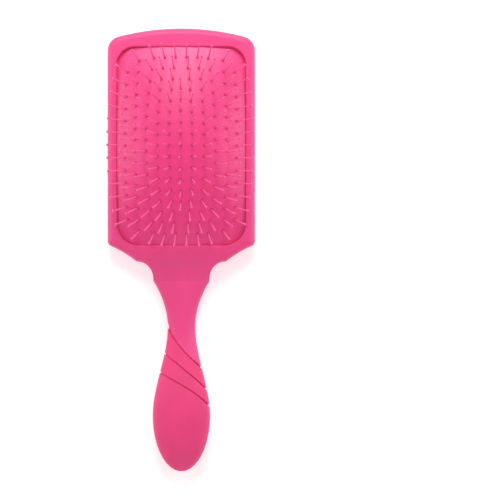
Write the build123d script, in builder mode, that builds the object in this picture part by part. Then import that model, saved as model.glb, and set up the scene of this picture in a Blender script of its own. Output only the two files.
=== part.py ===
"""Cushioned paddle hair brush, lying on its back.

The flat back of the head rests on z = 0 and the pins point along +Z. The head is at the
+Y end, the handle at the -Y end, and X runs across the brush. The origin is under the
middle of the whole brush. All sizes are in millimetres.
"""
import math
import os

from build123d import *

# ---- Overall ---------------------------------------------------------------------------
TOTAL_LENGTH = 260.0
HEAD_WIDTH = 86.5
HEAD_DEPTH = 15.0           # flat back to front rim

# ---- Head outline ----------------------------------------------------------------------
CROWN_RADIUS = 146.0        # shallow curve across the top end
CROWN_CORNER = 8.5
SHOULDER_CORNER = 3.0
SHOULDER_BELOW_OPENING = 0.4
SHOULDER_FALL = 10.0        # height of the sloping shoulder
SHOULDER_END_WIDTH = 52.4   # across the head where the shoulder ends and the cove begins
SHOULDER_HOLLOW = 0.7       # how far the shoulder line bows inward
COVE_DROP = 11.4            # height of the hollow curve between shoulder and knuckle
COVE_RADIUS = 9.6
KNUCKLE_WIDTH = 33.4        # across the corner where the neck begins
FRONT_EDGE_RADIUS = 3.6
BACK_EDGE_RADIUS = 4.6
RIM_EDGE_RADIUS = 0.8

# ---- Cushion opening -------------------------------------------------------------------
RIM_SIDE = 5.45             # rim width beside the cushion
RIM_CROWN = 10.9            # rim width at the middle of the crown
OPENING_LENGTH = 116.3
OPENING_CROWN_CORNER = 10.6
OPENING_NECK_CORNER = 12.9
BACK_WALL = 2.2

# ---- Vent holes ------------------------------------------------------------------------
VENT_DIAMETER = 3.5
VENT_EDGE_RADIUS = 0.6
VENT_STEP_ACROSS = 13.9
VENT_STEP_ALONG = 17.72     # between every second row
WIDE_ROW_VENTS = 6
NARROW_ROW_VENTS = 5
WIDE_VENT_ROWS = 6
NARROW_VENT_ROWS = 7

# ---- Handle ----------------------------------------------------------------------------
NECK_WIDTH = 16.3
NECK_THICKNESS = 9.4
NECK_RISE = 1.4             # underside of the neck above the flat back
NECK_BELOW_KNUCKLE = 27.3
GRIP_WIDTH = 33.7
GRIP_THICKNESS = 19.0
GRIP_CLEAR_OF_REST = 0.2    # underside of the grip above the plane of the flat back
GRIP_END_LENGTH = 32.7      # widest point of the grip to the butt
SCOOP_ABOVE_KNUCKLE = 19.6  # where the head starts to fall away towards the neck
SCOOP_WIDTH = 160.0         # section where the scoop starts, wider than the head
SCOOP_SKIM = 0.1            # that section stands above the rim and below the back by this
SCOOP_FULLNESS = 1.0        # section where the scoop starts: squarer than any other
KNUCKLE_FULLNESS = 0.8      # section at the knuckle: squarer than an oval
GRIP_FULLNESS = 0.58        # section from the neck down: 0.55 would be an ellipse

# from the start of the scoop to the knuckle: share of the way, and how much the front
# stands up at the sides of the section, which makes it a shallow valley
SCOOP_STATIONS = ((0, 0), (0.2, 0.6), (0.4, 0.95), (0.6, 0.8), (0.8, 0.35), (1, 0))
NECK_STATIONS = (0, 0.25, 0.5, 0.75, 1)
GRIP_STATIONS = (0.2, 0.4, 0.6, 0.8, 1)
END_ANGLES = (15, 30, 45, 58, 69, 78, 85, 89)   # degrees round the rounded end

# ---- Grip sleeve and its grooves -------------------------------------------------------
SLEEVE_WALL = 1.9
GROOVE_WIDTH = 0.9
GROOVE_DEPTH = 0.8
# lines across the grip from the -X side to the +X side: x, and height above the butt
SLEEVE_EDGE = ((-8.0, 85.7), (-3.8, 77.3), (4.6, 67.4), (11.7, 60.9))
UPPER_GROOVE = ((-9.4, 68.8), (-1.9, 62.8), (5.6, 56.7), (14.9, 48.0))
LOWER_GROOVE = ((-12.2, 58.1), (-6.6, 54.8), (7.5, 46.4), (15.8, 39.1))

# ---- Cushion membrane ------------------------------------------------------------------
CUSHION_WALL = 1.4
CUSHION_GAP = 0.1           # all round, to the wall of the opening
CUSHION_RISE = 10.7         # crest above the rim
SIDE_FALL = 11.5            # crest to the middle of each long edge
END_FALL = 11.5             # crest to the middle of each short edge
CORNER_LIFT = 8.0           # how much less the corners fall than both falls together
BEAD_REACH = 0.8            # bead into the groove of the opening
BEAD_THICKNESS = 1.6
BEAD_BELOW_RIM = 6.0        # rim to the top of the bead

# ---- Pins ------------------------------------------------------------------------------
PIN_REACH = 20.5            # cushion surface to the top of the ball
PIN_ROOT_DIAMETER = 0.9
PIN_END_DIAMETER = 0.75
PIN_HOLE_GAP = 0.25         # all round, in the cushion
PIN_HEAD_DIAMETER = 2.6
PIN_HEAD_THICKNESS = 0.7
PIN_HEAD_GAP = 0.15         # under the cushion
BALL_DIAMETER = 1.5
BALL_GAP = 0.02             # all round the pin in the ball
PIN_FIELD_SIDE_MARGIN = 4.8
ROW_FAN = 32.0              # degrees over which the rows spread from middle to side
# rows from the middle to the side: number of pins, margin at each end of the opening,
# and how far the ends of the row draw in towards the middle
PIN_ROWS = (
    (11, 24.75, 0.0),
    (17, 6.35, 3.8),
    (17, 6.35, 4.2),
    (16, 6.85, 4.6),
    (16, 8.25, 2.4),
    (13, 14.95, 1.6),
)

# ---- Places that follow from the sizes -------------------------------------------------
CROWN_Y = TOTAL_LENGTH / 2
BUTT_Y = -TOTAL_LENGTH / 2
OPENING_WIDTH = HEAD_WIDTH - 2 * RIM_SIDE
OPENING_TOP_Y = CROWN_Y - RIM_CROWN
OPENING_BOTTOM_Y = OPENING_TOP_Y - OPENING_LENGTH
OPENING_MID_Y = (OPENING_TOP_Y + OPENING_BOTTOM_Y) / 2
SHOULDER_TOP_Y = OPENING_BOTTOM_Y + SHOULDER_BELOW_OPENING
SHOULDER_END_Y = SHOULDER_TOP_Y - SHOULDER_FALL
KNUCKLE_Y = SHOULDER_END_Y - COVE_DROP
NECK_Y = KNUCKLE_Y - NECK_BELOW_KNUCKLE
GRIP_Y = BUTT_Y + GRIP_END_LENGTH
SCOOP_Y = KNUCKLE_Y + SCOOP_ABOVE_KNUCKLE
CREST_Z = HEAD_DEPTH + CUSHION_RISE
BEAD_TOP_Z = HEAD_DEPTH - BEAD_BELOW_RIM
BEAD_BOTTOM_Z = BEAD_TOP_Z - BEAD_THICKNESS
MIDDLE_ROW = len(PIN_ROWS) - 1
DOME_PAST_EDGE = 1.15       # the dome's surface is made this much larger than the opening
SAME_PLACE = 0.01           # lengths and directions this close count as equal
ROW_COUNT = 2 * len(PIN_ROWS) - 1


def ease(t):
    """Smooth step from 0 to 1 with level ends."""
    t = min(max(t, 0.0), 1.0)
    return t * t * (3 - 2 * t)


def between(start, end, t):
    return start + (end - start) * t


# ---- Handle shape ----------------------------------------------------------------------
def handle_half_width(y):
    """Half the width of the handle at a height, from the knuckle to the widest point."""
    if y > NECK_Y:
        t = (KNUCKLE_Y - y) / (KNUCKLE_Y - NECK_Y)
        return between(NECK_WIDTH, KNUCKLE_WIDTH, (1 - t) ** 2) / 2
    return between(NECK_WIDTH, GRIP_WIDTH, ease((NECK_Y - y) / (NECK_Y - GRIP_Y))) / 2


def front_height(y):
    """Height of the front surface along the middle of the neck and grip."""
    neck_front = NECK_RISE + NECK_THICKNESS
    if y > NECK_Y:
        return between(HEAD_DEPTH, neck_front, ease((SCOOP_Y - y) / SCOOP_ABOVE_KNUCKLE))
    t = ease((NECK_Y - y) / (NECK_Y - GRIP_Y))
    return between(neck_front, GRIP_CLEAR_OF_REST + GRIP_THICKNESS, t)


def back_height(y):
    """Height of the back surface along the middle of the neck and grip."""
    if y > NECK_Y:
        return between(0, NECK_RISE, ease((SCOOP_Y - y) / (SCOOP_Y - NECK_Y)))
    return between(NECK_RISE, GRIP_CLEAR_OF_REST, ease((NECK_Y - y) / (NECK_Y - GRIP_Y)))


def oval(y, half_width, low, high, fullness, share=1.0, side_rise=0.0):
    """Section across the brush between two heights, then smaller by a share."""
    side = half_width * share
    rise = (high - low) / 2 * share
    middle = (high + low) / 2
    with BuildSketch(Plane(origin=(0, y, middle), x_dir=(1, 0, 0), z_dir=(0, -1, 0))) as section:
        with BuildLine():
            Bezier((side, 0), (side, (fullness + side_rise) * rise), (fullness * side, rise), (0, rise))
            Bezier((side, 0), (side, -fullness * rise), (fullness * side, -rise), (0, -rise))
            mirror(about=Plane.YZ)
        make_face()
    return section.sketch


def handle_section(y, inset, share=1.0):
    """Section of the neck or grip, smaller by the inset all round, then by a share."""
    corner_share = (KNUCKLE_Y - y) / (KNUCKLE_Y - NECK_Y)
    fullness = between(KNUCKLE_FULLNESS, GRIP_FULLNESS, ease(corner_share))
    return oval(y, handle_half_width(y) - inset, back_height(y) + inset, front_height(y) - inset,
                fullness, share)


def handle_solid(inset):
    """Knuckle to butt, with every section smaller by the inset all round."""
    stations = [between(KNUCKLE_Y, NECK_Y, t) for t in NECK_STATIONS]
    stations += [between(NECK_Y, GRIP_Y, t) for t in GRIP_STATIONS]
    sections = [handle_section(y, inset) for y in stations]
    # the rounded end, as the sections of half an ellipsoid
    for angle in END_ANGLES:
        turn = math.radians(angle)
        y = GRIP_Y - (GRIP_END_LENGTH - inset) * math.sin(turn)
        sections.append(handle_section(y, inset, math.cos(turn)))
    with BuildPart() as handle:
        loft(sections)
    return handle.part


def scoop_solid():
    """From just outside the head's slab down to the section at the knuckle."""
    sections = []
    for t, side_rise in SCOOP_STATIONS:
        y = between(SCOOP_Y, KNUCKLE_Y, t)
        half_width = between(SCOOP_WIDTH, KNUCKLE_WIDTH, t) / 2
        skim = between(SCOOP_SKIM, 0, t)
        fullness = between(SCOOP_FULLNESS, KNUCKLE_FULLNESS, t)
        sections.append(oval(y, half_width, back_height(y) - skim, front_height(y) + skim,
                             fullness, side_rise=side_rise))
    with BuildPart() as scoop:
        loft(sections)
    return scoop.part


def grip_line(points):
    """Line across the grip in plan, carried straight on past both edges."""
    with BuildLine() as line:
        curve = Spline(*[(x, BUTT_Y + height) for x, height in points])
        Line(curve @ 0, curve @ 0 - (curve % 0) * GRIP_WIDTH)
        Line(curve @ 1, curve @ 1 + (curve % 1) * GRIP_WIDTH)
    return line


handle_outer = handle_solid(0)
handle_core = handle_solid(SLEEVE_WALL)
groove_floor = handle_solid(GROOVE_DEPTH)
scoop_form = scoop_solid()

# what the scoop takes away from the slab of the head
with BuildPart() as scoop_cut:
    with BuildSketch(Plane.XY.offset(-HEAD_DEPTH)):
        with BuildLine():
            Polyline((-SCOOP_WIDTH, KNUCKLE_Y), (SCOOP_WIDTH, KNUCKLE_Y), (SCOOP_WIDTH, SCOOP_Y),
                     (-SCOOP_WIDTH, SCOOP_Y), close=True)
        make_face()
    extrude(amount=3 * HEAD_DEPTH)
    add(scoop_form, mode=Mode.SUBTRACT)

# everything on the butt side of the sleeve's edge, as a block
sleeve_edge = grip_line(SLEEVE_EDGE)
edge_ends = sorted(sleeve_edge.line.vertices(), key=lambda corner: corner.X)
with BuildPart() as sleeve_zone:
    with BuildSketch():
        with BuildLine():
            add(sleeve_edge.line)
            left, right = tuple(edge_ends[0]), tuple(edge_ends[-1])
            Polyline(left, (left[0], 2 * BUTT_Y), (right[0], 2 * BUTT_Y), right)
        make_face()
    extrude(amount=2 * GRIP_THICKNESS)

with BuildPart() as grooves:
    with BuildSketch():
        for points in (SLEEVE_EDGE, UPPER_GROOVE, LOWER_GROOVE):
            trace(grip_line(points).line, line_width=GROOVE_WIDTH)
    extrude(amount=2 * GRIP_THICKNESS)
    add(groove_floor, mode=Mode.SUBTRACT)


# ---- Head outline ----------------------------------------------------------------------
def opening_outline(grow):
    """The opening for the cushion in plan, larger all round by the amount given."""
    half_width = OPENING_WIDTH / 2 + grow
    top = OPENING_TOP_Y + grow
    bottom = OPENING_BOTTOM_Y - grow
    with BuildSketch() as opening:
        with BuildLine():
            Polyline((-half_width, bottom), (half_width, bottom), (half_width, top),
                     (-half_width, top), close=True)
        make_face()
        fillet(opening.vertices().group_by(Axis.Y)[-1], OPENING_CROWN_CORNER + grow)
        fillet(opening.vertices().group_by(Axis.Y)[0], OPENING_NECK_CORNER + grow)
    return opening.sketch


with BuildSketch() as head_plan:
    with BuildLine():
        half_head = HEAD_WIDTH / 2
        crown_drop = CROWN_RADIUS - math.sqrt(CROWN_RADIUS ** 2 - half_head ** 2)
        RadiusArc((0, CROWN_Y), (half_head, CROWN_Y - crown_drop), CROWN_RADIUS)
        Line((half_head, CROWN_Y - crown_drop), (half_head, SHOULDER_TOP_Y))
        shoulder_end = (SHOULDER_END_WIDTH / 2, SHOULDER_END_Y)
        SagittaArc((half_head, SHOULDER_TOP_Y), shoulder_end, -SHOULDER_HOLLOW)
        RadiusArc(shoulder_end, (KNUCKLE_WIDTH / 2, KNUCKLE_Y), -COVE_RADIUS)
        Line((KNUCKLE_WIDTH / 2, KNUCKLE_Y), (0, KNUCKLE_Y))
        mirror(about=Plane.YZ)
    make_face()
    wide = head_plan.vertices().filter_by(lambda corner: abs(abs(corner.X) - half_head) < SAME_PLACE)
    fillet(wide.sort_by(Axis.Y)[-2:], CROWN_CORNER)
    wide = head_plan.vertices().filter_by(lambda corner: abs(abs(corner.X) - half_head) < SAME_PLACE)
    fillet(wide.sort_by(Axis.Y)[:2], SHOULDER_CORNER)


# ---- Paddle body -----------------------------------------------------------------------
neck_part = handle_outer - sleeve_zone.part


def outline_edges(block):
    """Front and back edges round the side walls of the head, without its neck end."""
    walls = block.faces().filter_by(lambda face: abs(face.normal_at().Z) < SAME_PLACE)
    return walls.sort_by(Axis.Y)[1:].edges().filter_by(Axis.Z, reverse=True)


with BuildPart() as paddle_body:
    with BuildSketch():
        add(head_plan.sketch)
    extrude(amount=HEAD_DEPTH)

    fillet(outline_edges(paddle_body).filter_by(lambda edge: edge.center().Z > HEAD_DEPTH / 2),
           FRONT_EDGE_RADIUS)
    fillet(outline_edges(paddle_body).filter_by(lambda edge: edge.center().Z < HEAD_DEPTH / 2),
           BACK_EDGE_RADIUS)

    # the front and back fall away towards the neck
    add(scoop_cut.part, mode=Mode.SUBTRACT)

    # the hollow under the cushion, with the groove that holds the cushion's bead
    with BuildSketch(Plane.XY.offset(BACK_WALL)):
        add(opening_outline(0))
    extrude(amount=HEAD_DEPTH, mode=Mode.SUBTRACT)
    fillet(paddle_body.faces().sort_by(Axis.Z)[-1].inner_wires().edges(), RIM_EDGE_RADIUS)
    with BuildSketch(Plane.XY.offset(BEAD_BOTTOM_Z)):
        add(opening_outline(BEAD_REACH))
    extrude(amount=BEAD_THICKNESS, mode=Mode.SUBTRACT)

    # vent holes through the back, in staggered rows
    with BuildSketch(Plane.XY.offset(BACK_WALL)):
        with Locations((0, OPENING_MID_Y)):
            with GridLocations(VENT_STEP_ACROSS, VENT_STEP_ALONG, NARROW_ROW_VENTS, NARROW_VENT_ROWS):
                Circle(VENT_DIAMETER / 2)
            with GridLocations(VENT_STEP_ACROSS, VENT_STEP_ALONG, WIDE_ROW_VENTS, WIDE_VENT_ROWS):
                Circle(VENT_DIAMETER / 2)
    extrude(amount=-2 * BACK_WALL, mode=Mode.SUBTRACT)
    fillet(paddle_body.faces().sort_by(Axis.Z)[0].inner_wires().edges(), VENT_EDGE_RADIUS)

    # the neck, and the core that runs down inside the grip sleeve
    add(neck_part)
    add(handle_core)
    add(grooves.part, mode=Mode.SUBTRACT)

# ---- Grip sleeve, moulded over the core ------------------------------------------------
with BuildPart() as grip_sleeve:
    add(handle_outer)
    add(sleeve_zone.part, mode=Mode.INTERSECT)
    add(handle_core, mode=Mode.SUBTRACT)
    add(grooves.part, mode=Mode.SUBTRACT)


# ---- Shape of the cushion's dome -------------------------------------------------------
def dome_height(x, y):
    """Height of the dome's outer surface."""
    u = x / (OPENING_WIDTH / 2)
    v = (y - OPENING_MID_Y) / (OPENING_LENGTH / 2)
    return CREST_Z - SIDE_FALL * u * u - END_FALL * v * v + CORNER_LIFT * u * u * v * v


def dome_normal(x, y):
    """Outward direction of the dome's surface, which is the direction of a pin."""
    u = x / (OPENING_WIDTH / 2)
    v = (y - OPENING_MID_Y) / (OPENING_LENGTH / 2)
    across = 2 * u * (SIDE_FALL - CORNER_LIFT * v * v) / (OPENING_WIDTH / 2)
    along = 2 * v * (END_FALL - CORNER_LIFT * u * u) / (OPENING_LENGTH / 2)
    return Vector(across, along, 1).normalized()


def dome_block(lower):
    """Everything under the dome, with the dome lowered by the amount given."""
    square = DOME_PAST_EDGE ** 2
    net = []
    for column, bend_x in enumerate((square, -square, square)):
        net.append([])
        for line, bend_y in enumerate((square, -square, square)):
            x = (column - 1) * DOME_PAST_EDGE * OPENING_WIDTH / 2
            y = OPENING_MID_Y + (line - 1) * DOME_PAST_EDGE * OPENING_LENGTH / 2
            fall = SIDE_FALL * bend_x + END_FALL * bend_y - CORNER_LIFT * bend_x * bend_y
            net[-1].append((x, y, CREST_Z - lower - fall))
    return extrude(Face.make_bezier_surface(net), amount=2 * CREST_Z, dir=(0, 0, -1))


# ---- Where the pins stand --------------------------------------------------------------
def row_middle(row):
    """Distance of a row from the middle of the brush, half way along the row."""
    outer = OPENING_WIDTH / 2 - PIN_FIELD_SIDE_MARGIN
    share = abs(row - MIDDLE_ROW) / MIDDLE_ROW
    return outer * math.sin(math.radians(ROW_FAN * share)) / math.sin(math.radians(ROW_FAN))


def row_planes(row):
    """A plane at the root of each pin of a row, facing along the pin, neck end first."""
    count, margin, draw_in = PIN_ROWS[abs(row - MIDDLE_ROW)]
    side = math.copysign(1, row - MIDDLE_ROW)
    planes = []
    for pin in range(count):
        share = between(-1, 1, pin / (count - 1))
        x = side * (row_middle(row) - draw_in * share * share)
        y = OPENING_MID_Y + share * (OPENING_LENGTH / 2 - margin)
        planes.append(Plane(origin=(x, y, dome_height(x, y)), x_dir=(1, 0, 0),
                            z_dir=dome_normal(x, y)))
    return planes


def half_rows():
    """Name and root planes of each half row: the half near the neck, then the crown."""
    halves = []
    for row in range(ROW_COUNT):
        planes = row_planes(row)
        cut = len(planes) // 2
        halves.append((f"row_{row + 1:02d}_neck", planes[:cut]))
        halves.append((f"row_{row + 1:02d}_crown", planes[cut:]))
    return halves


all_planes = [plane for _, planes in half_rows() for plane in planes]

# ---- Cushion membrane ------------------------------------------------------------------
dome_outside = dome_block(0)
dome_inside = dome_block(CUSHION_WALL)

with BuildPart() as cushion_hollow:
    with BuildSketch():
        add(opening_outline(-CUSHION_GAP - CUSHION_WALL))
    extrude(amount=2 * CREST_Z)
    add(dome_inside, mode=Mode.INTERSECT)

with BuildPart() as cushion:
    with BuildSketch(Plane.XY.offset(BEAD_BOTTOM_Z)):
        add(opening_outline(-CUSHION_GAP))
    extrude(amount=2 * CREST_Z)
    add(dome_outside, mode=Mode.INTERSECT)
    with BuildSketch(Plane.XY.offset(BEAD_BOTTOM_Z)):
        add(opening_outline(BEAD_REACH - CUSHION_GAP))
    extrude(amount=BEAD_THICKNESS)
    add(cushion_hollow.part, mode=Mode.SUBTRACT)
    with Locations(*all_planes):
        Cylinder(PIN_ROOT_DIAMETER / 2 + PIN_HOLE_GAP, 4 * CUSHION_WALL, mode=Mode.SUBTRACT)

# ---- One pin and one ball, standing on the XY plane ------------------------------------
head_top = -CUSHION_WALL - PIN_HEAD_GAP
ball_middle = PIN_REACH - BALL_DIAMETER / 2

with BuildPart() as pin:
    with BuildSketch(Plane.XZ):
        with BuildLine():
            Polyline((0, head_top - PIN_HEAD_THICKNESS),
                     (PIN_HEAD_DIAMETER / 2, head_top - PIN_HEAD_THICKNESS),
                     (PIN_HEAD_DIAMETER / 2, head_top),
                     (PIN_ROOT_DIAMETER / 2, head_top),
                     (PIN_ROOT_DIAMETER / 2, 0),
                     (PIN_END_DIAMETER / 2, PIN_REACH - BALL_DIAMETER),
                     (PIN_END_DIAMETER / 2, ball_middle),
                     (0, ball_middle), close=True)
        make_face()
    revolve()

with BuildPart() as ball:
    with Locations((0, 0, ball_middle)):
        Sphere(BALL_DIAMETER / 2)
        Cylinder(PIN_END_DIAMETER / 2 + BALL_GAP, BALL_DIAMETER,
                 align=(Align.CENTER, Align.CENTER, Align.MAX), mode=Mode.SUBTRACT)

# ---- Finished pieces -------------------------------------------------------------------
os.makedirs("parts", exist_ok=True)

paddle_body.part.label = "paddle_body"
export_step(paddle_body.part, "parts/paddle_body.step")

grip_sleeve.part.label = "grip_sleeve"
export_step(grip_sleeve.part, "parts/grip_sleeve.step")

cushion.part.label = "cushion"
export_step(cushion.part, "parts/cushion.step")

for name, planes in half_rows():
    with BuildPart() as pins:
        with Locations(*planes):
            add(pin.part)
    pins.part.label = f"pins_{name}"
    export_step(pins.part, f"parts/pins_{name}.step")

    with BuildPart() as balls:
        with Locations(*planes):
            add(ball.part)
    balls.part.label = f"balls_{name}"
    export_step(balls.part, f"parts/balls_{name}.step")
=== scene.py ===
"""Looks of the cushioned paddle brush: soft-touch body, grip sleeve, rubber cushion and pins.

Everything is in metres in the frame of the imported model: the brush lies on its back, pins up
along +Z, crown of the head towards +Y.
"""
import math

import bmesh
import bpy
import numpy as np
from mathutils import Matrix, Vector
from mathutils.geometry import delaunay_2d_cdt


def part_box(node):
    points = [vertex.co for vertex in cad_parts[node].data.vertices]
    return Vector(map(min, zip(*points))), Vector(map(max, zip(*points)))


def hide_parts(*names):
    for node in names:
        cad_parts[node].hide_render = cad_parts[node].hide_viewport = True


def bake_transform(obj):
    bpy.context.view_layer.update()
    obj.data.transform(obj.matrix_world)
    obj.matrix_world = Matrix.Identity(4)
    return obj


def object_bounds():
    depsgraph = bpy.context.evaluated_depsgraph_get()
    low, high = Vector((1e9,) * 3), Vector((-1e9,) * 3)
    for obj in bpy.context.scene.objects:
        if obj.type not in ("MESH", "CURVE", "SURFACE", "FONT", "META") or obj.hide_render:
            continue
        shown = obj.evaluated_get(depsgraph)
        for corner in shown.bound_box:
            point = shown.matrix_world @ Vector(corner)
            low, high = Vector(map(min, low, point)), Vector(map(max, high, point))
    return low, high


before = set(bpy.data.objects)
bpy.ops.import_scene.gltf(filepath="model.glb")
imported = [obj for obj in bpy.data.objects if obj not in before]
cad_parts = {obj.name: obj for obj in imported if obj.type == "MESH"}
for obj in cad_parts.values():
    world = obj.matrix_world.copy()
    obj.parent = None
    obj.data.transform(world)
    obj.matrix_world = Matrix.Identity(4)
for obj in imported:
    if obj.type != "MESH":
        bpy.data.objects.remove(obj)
CAD_BOX = [list(corner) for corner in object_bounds()]

bl_info = {
    "name": "Paddle Brush Finisher",
    "version": (1, 0, 0),
    "blender": (4, 5, 0),
    "location": "View3D > Sidebar > Paddle Brush",
    "description": "Builds the rubber cushion and finishes the pieces of a paddle brush",
    "category": "Object",
}

MM = 0.001
CUSHION_LOW, CUSHION_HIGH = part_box("cushion")
BODY_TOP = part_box("paddle_body")[1][2]
PIN_NODES = sorted(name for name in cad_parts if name.startswith("pins_"))
BALL_NODES = sorted(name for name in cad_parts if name.startswith("balls_"))


# ---- Sizes and colours that a user would change ----------------------------------------
def colour_property(name, description, default):
    return bpy.props.FloatVectorProperty(
        name=name, description=description, default=default, subtype="COLOR", size=3, min=0.0, max=1.0)


def length_property(name, description, default):
    return bpy.props.FloatProperty(
        name=name, description=description, default=default, min=0.0, unit="LENGTH", precision=5)


def power_property(name, description, default):
    return bpy.props.FloatProperty(
        name=name, description=description, default=default, min=0.0, unit="POWER")


def strength_property(name, description, default):
    return bpy.props.FloatProperty(name=name, description=description, default=default, min=0.0)


class PaddleColours(bpy.types.PropertyGroup):
    body: colour_property("Body", "Soft-touch paint of the head and neck", (0.82, 0.043, 0.220))
    grip: colour_property("Grip", "Moulded sleeve of the handle", (0.82, 0.048, 0.20))
    cushion: colour_property("Cushion", "Rubber cushion", (0.86, 0.050, 0.245))
    # the pin hole colour is painted shade: near-black, standing for the shadow inside the holes
    hole: colour_property("Pin hole", "Inside of the holes the pins stand in", (0.12, 0.001, 0.014))
    pins: colour_property("Pins", "Nylon of the pins", (0.96, 0.165, 0.42))
    balls: colour_property("Balls", "Dipped tips of the pins", (0.86, 0.075, 0.29))
    floor: colour_property("Floor", "Studio floor", (0.94, 0.94, 0.94))


class CushionSizes(bpy.types.PropertyGroup):
    wall: length_property("Wall", "Thickness of the rubber", 1.4 * MM)
    bead: length_property("Bead", "How far the bead reaches past the skirt", 0.8 * MM)
    bead_height: length_property("Bead height", "Height of the bead", 1.6 * MM)
    side_fall: length_property("Side fall", "Crest down to the middle of a long edge", 11.5 * MM)
    end_fall: length_property("End fall", "Crest down to the middle of a short edge", 11.5 * MM)
    corner_lift: length_property("Corner lift", "How much less the corners fall", 8.0 * MM)
    crown_corner: length_property("Crown corner", "Corner radius at the crown", 10.5 * MM)
    neck_corner: length_property("Neck corner", "Corner radius at the neck", 12.8 * MM)
    edge_radius: length_property("Edge", "Rounding where the dome meets its skirt", 0.35 * MM)
    hole_radius: length_property("Hole", "Radius of a pin's hole", 0.70 * MM)
    dimple: length_property("Dimple", "How far the dome dips at a hole", 0.06 * MM)
    press_zone: length_property("Press zone", "Depth below the crest that sinks as a whole", 6.0 * MM)
    spacing: length_property("Mesh spacing", "Distance between points of the dome's mesh", 1.5 * MM)


class StageSettings(bpy.types.PropertyGroup):
    camera_height: length_property("Camera height", "Camera above the floor", 1.6)
    view_width: length_property("View width", "Width of the view at the brush", 0.2923)
    view_offset: length_property("View offset", "Middle of the view to the side of the brush", 0.0403)
    key_power: power_property("Key light", "Power of the soft light beyond the crown", 3.2)
    side_power: power_property("Side lights", "Power of the soft light on each side", 1.05)
    foot_power: power_property("Foot light", "Power of the soft light beyond the butt", 1.4)
    fill_strength: strength_property("Fill", "Strength of the light all round", 0.40)
    floor_glow: strength_property("Floor glow", "Light given off by the floor, which lifts shadows", 0.35)


# ---- Shader graphs ---------------------------------------------------------------------
class Value:
    """A number that varies over a surface, with arithmetic that adds Math nodes."""

    def __init__(self, graph, socket):
        self.graph = graph
        self.socket = socket

    def __add__(self, other):
        return self.graph.math("ADD", self, other)

    def __sub__(self, other):
        return self.graph.math("SUBTRACT", self, other)

    def __rsub__(self, other):
        return self.graph.math("SUBTRACT", other, self)

    def __mul__(self, other):
        return self.graph.math("MULTIPLY", self, other)

    __radd__ = __add__
    __rmul__ = __mul__


class Graph:
    """The nodes of one material."""

    def __init__(self, name):
        self.material = bpy.data.materials.new(name)
        self.material.use_nodes = True
        self.tree = self.material.node_tree
        self.tree.nodes.clear()
        self.place = self.node("ShaderNodeTexCoord").outputs["Object"]

    def node(self, kind, settings=None, values=None):
        """Adds a node: its settings first, then the values or links of its sockets."""
        made = self.tree.nodes.new(kind)
        for key, value in (settings or {}).items():
            setattr(made, key, value)
        for key, value in (values or {}).items():
            source = value.socket if isinstance(value, Value) else value
            if isinstance(source, bpy.types.NodeSocket):
                self.tree.links.new(source, made.inputs[key])
            else:
                made.inputs[key].default_value = source
        return made

    def math(self, operation, *values):
        made = self.node("ShaderNodeMath", {"operation": operation}, dict(enumerate(values)))
        return Value(self, made.outputs[0])

    def coordinates(self):
        """The x and y of a point of the surface."""
        split = self.node("ShaderNodeSeparateXYZ", {}, {0: self.place})
        return Value(self, split.outputs[0]), Value(self, split.outputs[1])

    def noise(self, scale, detail=2.0, roughness=0.5):
        made = self.node("ShaderNodeTexNoise", {},
                         {"Vector": self.place, "Scale": scale, "Detail": detail, "Roughness": roughness})
        return Value(self, made.outputs[0])

    def ramp(self, value, low, high):
        """0 below low, 1 above high, smooth between."""
        made = self.node("ShaderNodeMapRange", {"interpolation_type": "SMOOTHSTEP"},
                         {"Value": value, "From Min": low, "From Max": high})
        return Value(self, made.outputs[0])

    def tint(self, factor, first, second):
        """The first colour where the factor is 0, the second where it is 1."""
        made = self.node("ShaderNodeMix", {"data_type": "RGBA"}, {0: factor, 6: first, 7: second})
        return made.outputs[2]

    def bump(self, height, distance, strength):
        made = self.node("ShaderNodeBump", {}, {"Height": height, "Distance": distance, "Strength": strength})
        return made.outputs[0]

    def finish(self, sockets):
        """Ends the graph in a Principled shader with the sockets given."""
        shader = self.node("ShaderNodeBsdfPrincipled", {}, sockets)
        self.node("ShaderNodeOutputMaterial", {}, {"Surface": shader.outputs[0]})
        return self.material


def shade(colour, factor):
    """A colour made darker or lighter, as RGBA."""
    return tuple(min(channel * factor, 1.0) for channel in colour) + (1.0,)


# ---- Materials -------------------------------------------------------------------------
HATCH_PITCH = 1.34 * MM           # from line to line of the cushion's cross-hatch, along x or y


def soft_touch_paint(colour):
    """Satin paint: faint cloudiness and an even grain of slightly paler specks."""
    g = Graph("soft_touch_paint")
    cloud = g.noise(55.0, 3.0)
    grain = g.noise(2600.0, 2.0, 0.6)
    base = g.tint(g.ramp(cloud, 0.3, 0.7), shade(colour, 0.965), shade(colour, 1.03))
    base = g.tint(g.ramp(grain, 0.55, 0.8) * 0.25, base, shade(colour, 1.12))
    return g.finish({
        "Base Color": base,
        "Roughness": 0.48 + 0.08 * cloud,
        "Specular IOR Level": 0.62,
        "Sheen Weight": 0.22,
        "Sheen Roughness": 0.45,
        "Normal": g.bump(grain, 0.02 * MM, 0.35),
    })


def sleeve_elastomer(colour):
    """Matt rubber with a fine moulded grain."""
    g = Graph("sleeve_elastomer")
    cloud = g.noise(70.0, 3.0)
    grain = g.noise(1900.0, 3.0, 0.65)
    base = g.tint(g.ramp(cloud, 0.3, 0.7), shade(colour, 0.96), shade(colour, 1.035))
    base = g.tint(g.ramp(grain, 0.5, 0.85) * 0.3, base, shade(colour, 1.15))
    return g.finish({
        "Base Color": base,
        "Roughness": 0.56 + 0.08 * cloud,
        "Specular IOR Level": 0.35,
        "Sheen Weight": 0.1,
        "Sheen Roughness": 0.5,
        "Normal": g.bump(grain, 0.04 * MM, 0.4),
    })


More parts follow.
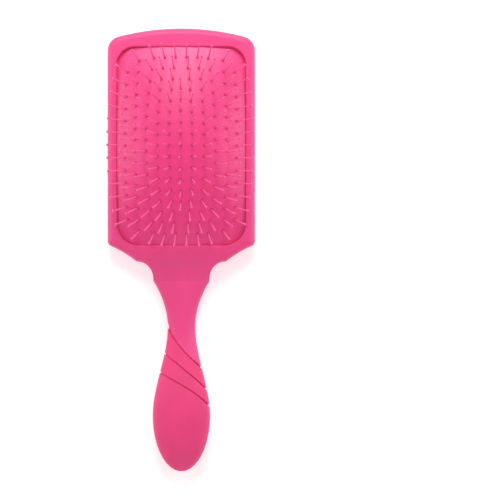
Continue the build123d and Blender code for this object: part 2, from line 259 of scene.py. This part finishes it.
def cushion_rubber(colour):
    """Satin rubber with the fine slanted cross-hatch of the mould; its colour is painted darker in the
    hatch's grooves and lighter on its ridges, as painted shade and highlight.
    """
    g = Graph("cushion_rubber")
    x, y = g.coordinates()
    turns = 2 * math.pi / HATCH_PITCH
    hatch = (g.math("SINE", (x + y) * turns) + g.math("SINE", (x - y) * turns)) * 0.25 + 0.5
    cloud = g.noise(60.0, 2.0)
    # painted shade and highlight: the colour is darker in the hatch's grooves and lighter on its ridges
    base = g.tint(g.ramp(hatch, 0.3, 0.7), shade(colour, 0.80), shade(colour, 1.12))
    base = g.tint(g.ramp(cloud, 0.35, 0.7) * 0.35, base, shade(colour, 1.08))
    return g.finish({
        "Base Color": base,
        "Roughness": 0.27 + 0.07 * cloud,
        "Specular IOR Level": 0.55,
        "Normal": g.bump(hatch, 0.10 * MM, 0.8),
    })


def hole_painted_shade(colour):
    """Painted shade: near-black rubber on the wall of a pin's hole, standing for the shadow inside it."""
    g = Graph("hole_painted_shade")
    base = g.tint(g.ramp(g.noise(900.0), 0.3, 0.7), shade(colour, 0.8), shade(colour, 1.1))
    return g.finish({"Base Color": base, "Roughness": 0.7, "Specular IOR Level": 0.2})


def pin_nylon(colour):
    """Slightly translucent nylon with faint streaks."""
    g = Graph("pin_nylon")
    streak = g.noise(500.0, 2.0)
    return g.finish({
        "Base Color": g.tint(g.ramp(streak, 0.3, 0.7), shade(colour, 0.94), shade(colour, 1.06)),
        "Roughness": 0.30 + 0.1 * streak,
        "Specular IOR Level": 0.45,
        "Subsurface Weight": 0.3,
        "Subsurface Scale": 0.6 * MM,
        "Subsurface Radius": (1.0, 0.9, 0.95),
    })


def ball_coating(colour):
    """Glossy dipped coating of the tips."""
    g = Graph("ball_coating")
    swirl = g.noise(700.0, 2.0)
    return g.finish({
        "Base Color": g.tint(g.ramp(swirl, 0.3, 0.7), shade(colour, 0.88), shade(colour, 1.08)),
        "Roughness": 0.20 + 0.08 * swirl,
        "Coat Weight": 0.5,
        "Coat Roughness": 0.06,
    })


def floor_paper(colour, glow):
    """Pale studio paper that gives off a little light of its own."""
    g = Graph("floor_paper")
    fibre = g.noise(900.0, 3.0)
    return g.finish({
        "Base Color": g.tint(g.ramp(fibre, 0.3, 0.7), shade(colour, 0.995), shade(colour, 1.005)),
        "Roughness": 0.9,
        "Specular IOR Level": 0.1,
        "Emission Color": shade(colour, 1.0),
        "Emission Strength": glow,
    })


def assign(obj, *materials):
    """Puts the materials in the object's slots."""
    obj.data.materials.clear()
    for material in materials:
        obj.data.materials.append(material)


# ---- Cushion ---------------------------------------------------------------------------
CORNER_STEPS = 16                 # steps round the quarter turn of a corner
EDGE_POINTS = 300                 # points round the outline
ROUNDING_STEPS = 4                # rings over the rounded edge
ROUNDING_HEIGHT = 0.8             # height of the rounded edge, as a share of its width
BEAD_SOFTNESS = 0.25 * MM         # bevel of the bead
HOLE_POINTS = 12                  # points round a hole
RING_SHARES = (1.0, 1.4, 2.1)     # rings round a pin's hole, as shares of its radius
HOLE_EDGE = 1.05                  # points nearer than this many radii are the hole's own edge
HOLE_INSIDE = 0.96                # faces nearer than this many radii would close the hole
EDGE_MARGIN = 0.6                 # band inside the rim without lattice points, in spacings
HOLE_MARGIN = 0.5                 # the same band round a hole's rings
TRIANGLE_TOLERANCE = 1e-5         # of the triangulation, in millimetres
ROOT_STEPS = 12                   # steps of the search for a pin's root
WELD_DISTANCE = 0.001 * MM


class Dome:
    """The cushion's shape in plan and height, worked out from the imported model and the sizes."""

    def __init__(self, sizes):
        self.sizes = sizes
        low, high = Vector(CUSHION_LOW), Vector(CUSHION_HIGH)
        self.half_width = (high.x - low.x) / 2 - sizes.bead
        self.half_length = (high.y - low.y) / 2 - sizes.bead
        self.middle_y = (high.y + low.y) / 2
        self.crest = high.z
        self.bottom = low.z

    def shares(self, x, y):
        """Place across and along the dome, from -1 to 1."""
        return x / self.half_width, (y - self.middle_y) / self.half_length

    def height(self, x, y):
        u, v = self.shares(x, y)
        fall = self.sizes.side_fall * u * u + self.sizes.end_fall * v * v
        return self.crest - fall + self.sizes.corner_lift * u * u * v * v

    def normal(self, x, y):
        u, v = self.shares(x, y)
        across = 2 * u * (self.sizes.side_fall - self.sizes.corner_lift * v * v) / self.half_width
        along = 2 * v * (self.sizes.end_fall - self.sizes.corner_lift * u * u) / self.half_length
        return Vector((across, along, 1.0)).normalized()

    def outline(self, inset):
        """Points round the rounded rectangle, moved in by the inset."""
        points = []
        corners = ((1, 1, self.sizes.crown_corner), (-1, 1, self.sizes.crown_corner),
                   (-1, -1, self.sizes.neck_corner), (1, -1, self.sizes.neck_corner))
        for number, (side, end, radius) in enumerate(corners):
            centre_x = side * (self.half_width - radius)
            centre_y = self.middle_y + end * (self.half_length - radius)
            reach = radius - inset
            for step in range(CORNER_STEPS + 1):
                angle = math.pi / 2 * (number + step / CORNER_STEPS)
                points.append((centre_x + reach * math.cos(angle), centre_y + reach * math.sin(angle)))
        return spread(points, EDGE_POINTS)


def spread(points, count):
    """The closed line through the points, as a number of points at even distances."""
    line = np.array(points + points[:1])
    along = np.concatenate(([0.0], np.cumsum(np.linalg.norm(np.diff(line, axis=0), axis=1))))
    at = np.linspace(0.0, along[-1], count, endpoint=False)
    return np.stack((np.interp(at, along, line[:, 0]), np.interp(at, along, line[:, 1])), axis=1)


def inside(line, x, y):
    """Whether a point is inside a closed convex line that runs anticlockwise."""
    step = np.roll(line, -1, axis=0) - line
    cross = step[:, 0] * (y - line[:, 1]) - step[:, 1] * (x - line[:, 0])
    return bool((cross > 0).all())


def islands(mesh):
    """The separate solids of a mesh, each as a list of its points."""
    seen = set()
    for first in mesh.verts:
        if first in seen:
            continue
        seen.add(first)
        island = [first]
        for vert in island:
            for edge in vert.link_edges:
                other = edge.other_vert(vert)
                if other not in seen:
                    seen.add(other)
                    island.append(other)
        yield island


def long_axis(points):
    """Middle of a slim solid's points, and its long direction, upwards."""
    middle = points.mean(axis=0)
    direction = np.linalg.svd(points - middle, full_matrices=False)[2][0]
    if direction[2] < 0:
        direction = -direction
    return Vector(middle), Vector(direction)


def root_on_dome(dome, point, direction):
    """Where a pin's axis meets the dome."""
    for _ in range(ROOT_STEPS):
        drop = (point.z - dome.height(point.x, point.y)) / direction.z
        point = point - direction * drop
    return point


def pin_roots(dome):
    """The root on the dome and the direction of every pin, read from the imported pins."""
    roots = []
    directions = []
    for name in PIN_NODES:
        mesh = bmesh.new()
        mesh.from_mesh(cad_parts[name].data)
        bmesh.ops.remove_doubles(mesh, verts=mesh.verts, dist=WELD_DISTANCE)
        for island in islands(mesh):
            middle, direction = long_axis(np.array([vert.co[:] for vert in island]))
            root = root_on_dome(dome, middle, direction)
            roots.append((root.x, root.y))
            directions.append(direction)
        mesh.free()
    return np.array(roots), directions


def root_distances(roots, x, y):
    return np.hypot(roots[:, 0] - x, roots[:, 1] - y)


def ring_points(root, radius, share):
    """Points of one ring round a hole; rings outside the hole's own edge are turned half a step."""
    turn = 0.0 if share == RING_SHARES[0] else 0.5
    reach = radius * share
    angles = [2 * math.pi * (step + turn) / HOLE_POINTS for step in range(HOLE_POINTS)]
    return [(root[0] + reach * math.cos(angle), root[1] + reach * math.sin(angle)) for angle in angles]


def lattice(dome, roots):
    """Points of an even triangular lattice, clear of the rim and of the holes' rings."""
    sizes = dome.sizes
    border = dome.outline(sizes.edge_radius + EDGE_MARGIN * sizes.spacing)
    clear = sizes.hole_radius * RING_SHARES[-1] + HOLE_MARGIN * sizes.spacing
    points = []
    row = 0
    y = dome.middle_y - dome.half_length
    while y < dome.middle_y + dome.half_length:
        x = -dome.half_width + (row % 2) * sizes.spacing / 2
        while x < dome.half_width:
            if inside(border, x, y) and root_distances(roots, x, y).min() > clear:
                points.append((x, y))
            x += sizes.spacing
        row += 1
        y += sizes.spacing * math.sqrt(3) / 2
    return points


def cushion_plan(dome, roots):
    """Triangles over the plan of the dome, with the points of its rim and of every round hole."""
    sizes = dome.sizes
    rim_line = dome.outline(sizes.edge_radius)
    points = [tuple(point) for point in rim_line]
    edges = [(i, (i + 1) % EDGE_POINTS) for i in range(EDGE_POINTS)]
    holes = []
    for root in roots:
        holes.append(range(len(points), len(points) + HOLE_POINTS))
        for share in RING_SHARES:
            first = len(points)
            points += ring_points(root, sizes.hole_radius, share)
            edges += [(first + i, first + (i + 1) % HOLE_POINTS) for i in range(HOLE_POINTS)]
    points += lattice(dome, roots)

    # the triangulation works in millimetres, where its tolerance suits
    flat = [Vector((x / MM, y / MM)) for x, y in points]
    verts, _, faces, sources, _, _ = delaunay_2d_cdt(flat, edges, [], 0, TRIANGLE_TOLERANCE)
    number = {source[0]: i for i, source in enumerate(sources) if source}
    plan = [(vert.x * MM, vert.y * MM) for vert in verts]

    kept = []
    for face in faces:
        x = sum(plan[i][0] for i in face) / len(face)
        y = sum(plan[i][1] for i in face) / len(face)
        in_hole = root_distances(roots, x, y).min() < sizes.hole_radius * HOLE_INSIDE
        if not in_hole and inside(rim_line, x, y):
            kept.append(tuple(face))
    rim = [number[i] for i in range(EDGE_POINTS)]
    return plan, kept, rim, [[number[i] for i in hole] for hole in holes]


def membrane_points(mesh, dome, plan, roots, directions):
    """The outer and the inner point of the rubber at every point of the plan."""
    sizes = dome.sizes
    outer = []
    inner = []
    for x, y in plan:
        away = root_distances(roots, x, y)
        nearest = int(away.argmin())
        share = away[nearest] / sizes.hole_radius
        dip = max(0.0, (RING_SHARES[-1] - share) / (RING_SHARES[-1] - RING_SHARES[0]))
        point = Vector((x, y, dome.height(x, y) - sizes.dimple * dip * dip))
        through = directions[nearest] if share < HOLE_EDGE else dome.normal(x, y)
        outer.append(mesh.verts.new(point))
        inner.append(mesh.verts.new(point - through * sizes.wall))
    return outer, inner


def rounding_rings(sizes):
    """Inset and drop of each ring over the rounded edge."""
    for step in range(1, ROUNDING_STEPS + 1):
        angle = math.pi / 2 * step / ROUNDING_STEPS
        drop = sizes.edge_radius * (1 - math.cos(angle)) * ROUNDING_HEIGHT
        yield sizes.edge_radius * (1 - math.sin(angle)), drop


def skirt_rings(dome):
    """Inset and height of each level ring down the skirt, round the bead and in under the wall."""
    sizes = dome.sizes
    bead_top = dome.bottom + sizes.bead_height
    return ((0.0, bead_top + BEAD_SOFTNESS),
            (BEAD_SOFTNESS - sizes.bead, bead_top),
            (-sizes.bead, bead_top - BEAD_SOFTNESS),
            (-sizes.bead, dome.bottom + BEAD_SOFTNESS),
            (BEAD_SOFTNESS - sizes.bead, dome.bottom),
            (sizes.wall, dome.bottom))


def join_rings(mesh, first, second):
    for i in range(len(first)):
        j = (i + 1) % len(first)
        mesh.faces.new((first[i], second[i], second[j], first[j]))


def add_ring(mesh, previous, line, heights):
    """A new ring of points along the line, joined to the ring before it."""
    ring = [mesh.verts.new((x, y, z)) for (x, y), z in zip(line, heights)]
    join_rings(mesh, previous, ring)
    return ring


def close_edge(mesh, dome, outer_rim, inner_rim):
    """Rounded edge, skirt and bead, from the outside of the rim to its inside."""
    rim_line = dome.outline(dome.sizes.edge_radius)
    ring = outer_rim
    for inset, drop in rounding_rings(dome.sizes):
        heights = [dome.height(x, y) - drop for x, y in rim_line]
        ring = add_ring(mesh, ring, dome.outline(inset), heights)
    for inset, level in skirt_rings(dome):
        ring = add_ring(mesh, ring, dome.outline(inset), [level] * EDGE_POINTS)
    join_rings(mesh, ring, inner_rim)


def build_cushion(dome):
    """The rubber cushion as one closed membrane: dome, holes, skirt and bead."""
    roots, directions = pin_roots(dome)
    plan, faces, rim, holes = cushion_plan(dome, roots)
    mesh = bmesh.new()
    outer, inner = membrane_points(mesh, dome, plan, roots, directions)
    for face in faces:
        mesh.faces.new([outer[i] for i in face])
        mesh.faces.new([inner[i] for i in reversed(face)])
    for hole in holes:
        for i, j in zip(hole, hole[1:] + hole[:1]):
            wall = mesh.faces.new((outer[j], outer[i], inner[i], inner[j]))
            # the hole walls take the second slot, which holds the painted shade of the holes
            wall.material_index = 1
    close_edge(mesh, dome, [outer[i] for i in rim], [inner[i] for i in rim])
    mesh.normal_update()
    bmesh.ops.recalc_face_normals(mesh, faces=mesh.faces)
    for face in mesh.faces:
        face.smooth = True
    data = bpy.data.meshes.new("cushion_skin")
    mesh.to_mesh(data)
    mesh.free()
    skin = bpy.data.objects.new("cushion_skin", data)
    bpy.context.scene.collection.objects.link(skin)
    return skin


# ---- Stage -----------------------------------------------------------------------------
FLOOR_REACH = 3.0                 # from the middle of the floor to its sides
FLOOR_GAP = 0.05 * MM             # between the floor and the brush that lies on it
FLOOR_CORNERS = ((-1, -1), (1, -1), (1, 1), (-1, 1))
HEAD_MIDDLE = (0.0, 0.06, 0.0)
GRIP_START = (0.0, -0.05, 0.0)
KEY_PLACE, KEY_SIZE = (0.0, 0.56, 0.50), 0.4
SIDE_PLACE, SIDE_SIZE = (0.50, 0.16, 0.30), 0.4
FOOT_PLACE, FOOT_SIZE = (0.0, -0.75, 0.30), 0.5
SENSOR_WIDTH = 36.0               # of the camera, in millimetres


def add_floor(scene, paper):
    data = bpy.data.meshes.new("studio_floor")
    corners = [(side * FLOOR_REACH, end * FLOOR_REACH, 0) for side, end in FLOOR_CORNERS]
    data.from_pydata(corners, [], [(0, 1, 2, 3)])
    floor = bpy.data.objects.new("studio_floor", data)
    floor.location.z = CAD_BOX[0][2] - FLOOR_GAP
    scene.collection.objects.link(floor)
    assign(floor, paper)


def add_fill(scene, strength):
    """White light from all round."""
    world = bpy.data.worlds.new("studio")
    world.use_nodes = True
    background = world.node_tree.nodes["Background"]
    background.inputs["Color"].default_value = (1.0, 1.0, 1.0, 1.0)
    background.inputs["Strength"].default_value = strength
    scene.world = world


def soft_light(scene, name, place, target, size, power):
    """A square light that faces a target."""
    data = bpy.data.lights.new(name, "AREA")
    data.size = size
    data.energy = power
    light = bpy.data.objects.new(name, data)
    light.location = place
    light.rotation_euler = (Vector(target) - Vector(place)).to_track_quat("-Z", "Y").to_euler()
    scene.collection.objects.link(light)


def add_camera(scene, settings):
    """A camera that looks straight down, with the set width of view at the top of the body."""
    data = bpy.data.cameras.new("camera")
    data.sensor_width = SENSOR_WIDTH
    data.lens = SENSOR_WIDTH * (settings.camera_height - BODY_TOP) / settings.view_width
    camera = bpy.data.objects.new("camera", data)
    camera.location = (settings.view_offset, 0.0, settings.camera_height)
    scene.collection.objects.link(camera)
    scene.camera = camera


# ---- Operators -------------------------------------------------------------------------
class PADDLE_OT_body(bpy.types.Operator):
    """Paint the head and neck"""
    bl_idname = "paddle.finish_body"
    bl_label = "Finish Body"

    def execute(self, context):
        assign(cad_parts["paddle_body"], soft_touch_paint(context.scene.paddle_colours.body))
        return {"FINISHED"}


class PADDLE_OT_grip(bpy.types.Operator):
    """Finish the moulded sleeve of the handle"""
    bl_idname = "paddle.finish_grip"
    bl_label = "Finish Grip"

    def execute(self, context):
        assign(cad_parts["grip_sleeve"], sleeve_elastomer(context.scene.paddle_colours.grip))
        return {"FINISHED"}


class PADDLE_OT_cushion(bpy.types.Operator):
    """Build the rubber cushion with a hole for every pin"""
    bl_idname = "paddle.build_cushion"
    bl_label = "Build Cushion"

    def execute(self, context):
        colours = context.scene.paddle_colours
        dome = Dome(context.scene.paddle_cushion)
        skin = build_cushion(dome)
        assign(skin, cushion_rubber(colours.cushion), hole_painted_shade(colours.hole))
        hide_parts("cushion")
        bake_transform(skin)
        return {"FINISHED"}


class PADDLE_OT_pins(bpy.types.Operator):
    """Finish the nylon pins"""
    bl_idname = "paddle.finish_pins"
    bl_label = "Finish Pins"

    def execute(self, context):
        nylon = pin_nylon(context.scene.paddle_colours.pins)
        for name in PIN_NODES:
            assign(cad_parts[name], nylon)
        return {"FINISHED"}


class PADDLE_OT_balls(bpy.types.Operator):
    """Finish the dipped balls on the pins"""
    bl_idname = "paddle.finish_balls"
    bl_label = "Finish Balls"

    def execute(self, context):
        coating = ball_coating(context.scene.paddle_colours.balls)
        for name in BALL_NODES:
            assign(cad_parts[name], coating)
        return {"FINISHED"}


class PADDLE_OT_stage(bpy.types.Operator):
    """Add the floor, the soft lights and the camera"""
    bl_idname = "paddle.set_stage"
    bl_label = "Set Stage"

    def execute(self, context):
        scene = context.scene
        settings = scene.paddle_stage
        add_floor(scene, floor_paper(scene.paddle_colours.floor, settings.floor_glow))
        add_fill(scene, settings.fill_strength)
        soft_light(scene, "key", KEY_PLACE, HEAD_MIDDLE, KEY_SIZE, settings.key_power)
        for side in (-1, 1):
            place = (side * SIDE_PLACE[0], SIDE_PLACE[1], SIDE_PLACE[2])
            soft_light(scene, "side", place, HEAD_MIDDLE, SIDE_SIZE, settings.side_power)
        soft_light(scene, "foot", FOOT_PLACE, GRIP_START, FOOT_SIZE, settings.foot_power)
        add_camera(scene, settings)
        scene.view_settings.view_transform = "Standard"
        return {"FINISHED"}


# ---- Panel and registration ------------------------------------------------------------
GROUPS = {"paddle_colours": PaddleColours, "paddle_cushion": CushionSizes, "paddle_stage": StageSettings}
STEPS = (PADDLE_OT_body, PADDLE_OT_grip, PADDLE_OT_cushion, PADDLE_OT_pins, PADDLE_OT_balls, PADDLE_OT_stage)


class PADDLE_PT_panel(bpy.types.Panel):
    """Sizes, colours and steps of the brush"""
    bl_idname = "PADDLE_PT_panel"
    bl_label = "Paddle Brush"
    bl_space_type = "VIEW_3D"
    bl_region_type = "UI"
    bl_category = "Paddle Brush"

    def draw(self, context):
        for place, group in GROUPS.items():
            for name in group.__annotations__:
                self.layout.prop(getattr(context.scene, place), name)
        for step in STEPS:
            self.layout.operator(step.bl_idname)


def register():
    for name, group in GROUPS.items():
        bpy.utils.register_class(group)
        setattr(bpy.types.Scene, name, bpy.props.PointerProperty(type=group))
    for made in STEPS + (PADDLE_PT_panel,):
        bpy.utils.register_class(made)


def unregister():
    for made in reversed(STEPS + (PADDLE_PT_panel,)):
        bpy.utils.unregister_class(made)
    for name, group in GROUPS.items():
        delattr(bpy.types.Scene, name)
        bpy.utils.unregister_class(group)


def main():
    register()
    bpy.ops.paddle.finish_body()
    bpy.ops.paddle.finish_grip()
    bpy.ops.paddle.build_cushion()
    bpy.ops.paddle.finish_pins()
    bpy.ops.paddle.finish_balls()
    bpy.ops.paddle.set_stage()


if __name__ == "__main__":
    main()
